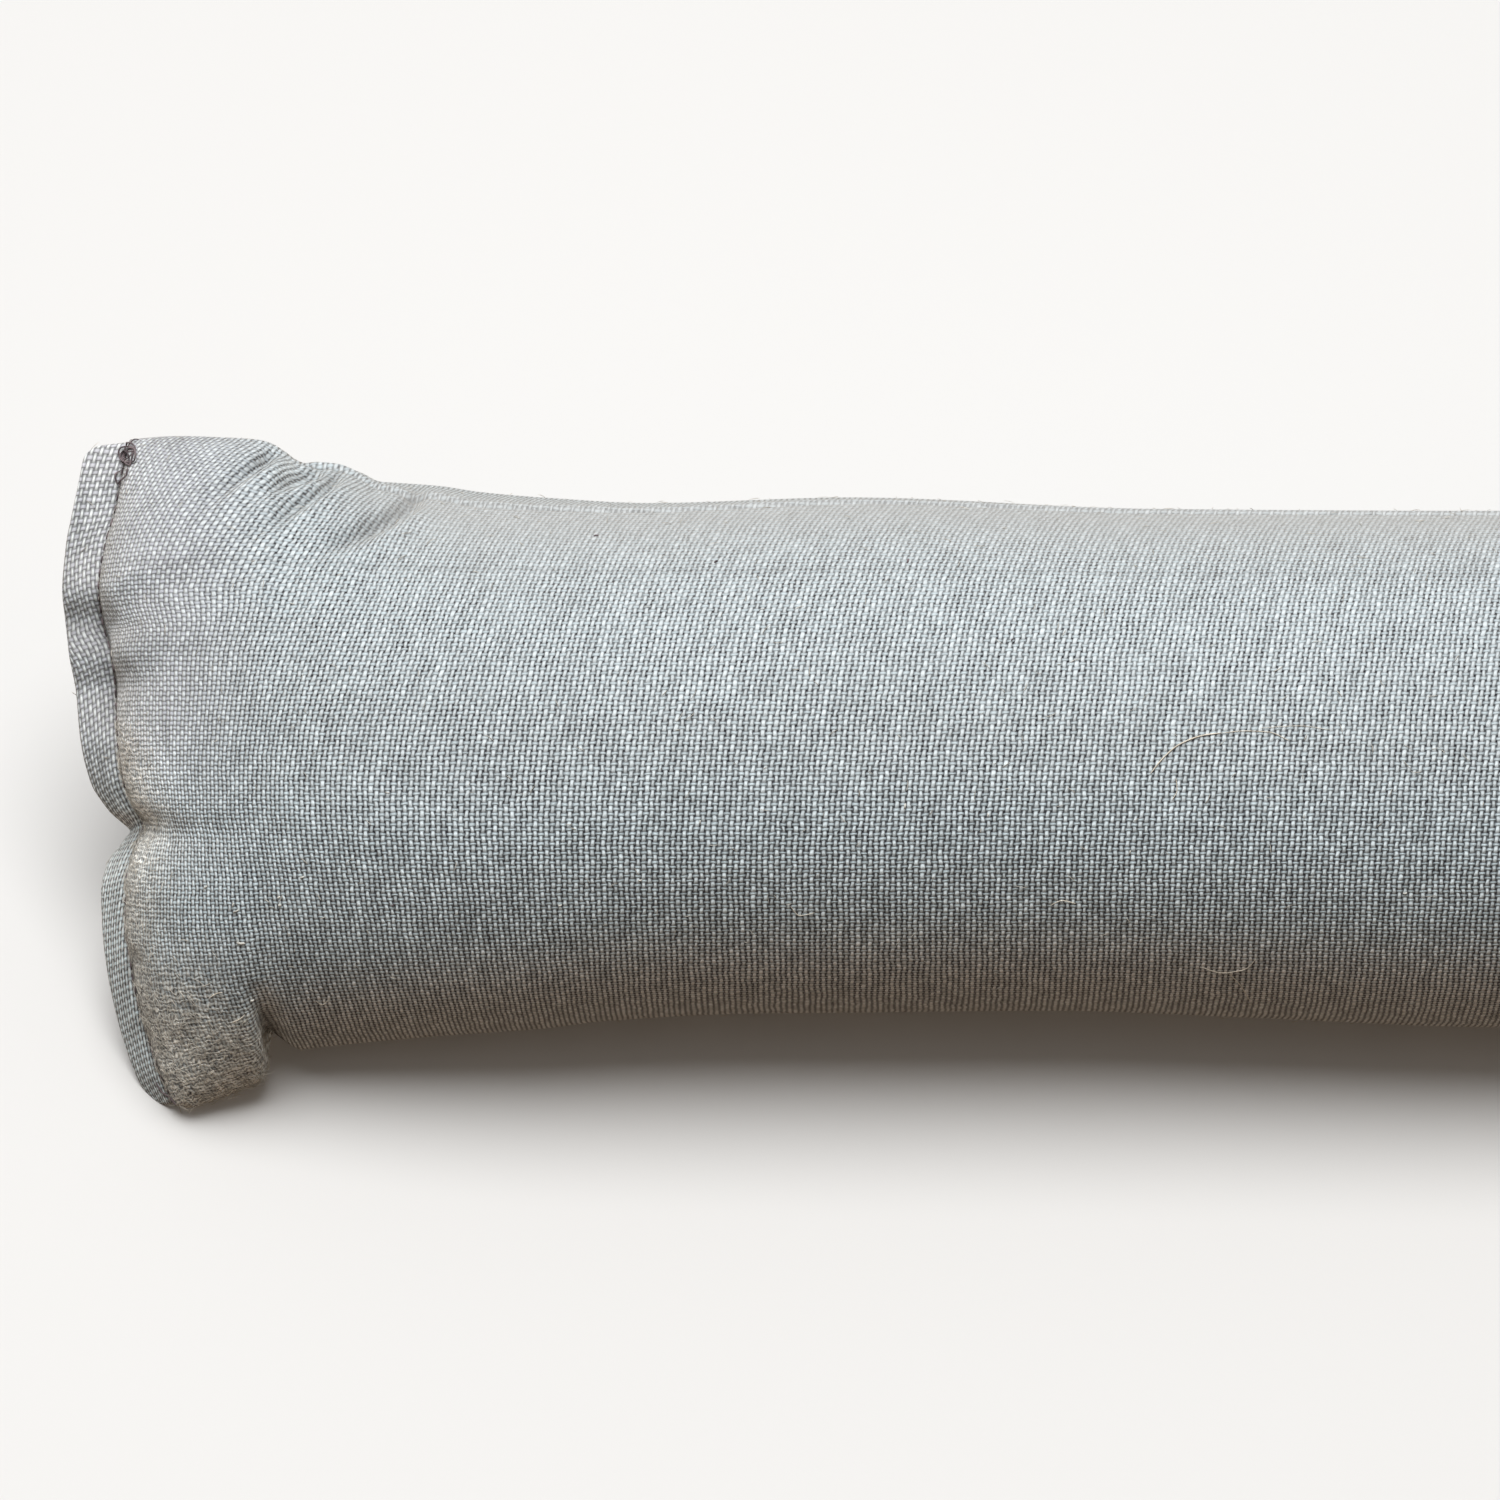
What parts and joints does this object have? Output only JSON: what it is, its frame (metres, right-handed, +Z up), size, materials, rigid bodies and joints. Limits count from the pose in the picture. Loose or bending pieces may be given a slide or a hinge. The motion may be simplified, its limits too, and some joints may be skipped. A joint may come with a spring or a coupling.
{
  "type": "draught excluder",
  "caption": "Long stuffed cloth tube, its ends turned in and stitched flat, that lies along the foot of a door or window to keep draughts out.",
  "frame": {"origin": "centre of the box's underside, on the floor that the tube lies on", "axes": "+X along the tube towards its plainer end, +Y from its front to its back, +Z up"},
  "size_m": [0.9003, 0.1059, 0.0995],
  "materials": {
    "cotton_cloth": "plain-woven cotton, blue-grey, matt with a slight pile"
  },
  "bodies": {
    "root": {"filled_tube": "cotton_cloth"}
  },
  "joints": []
}
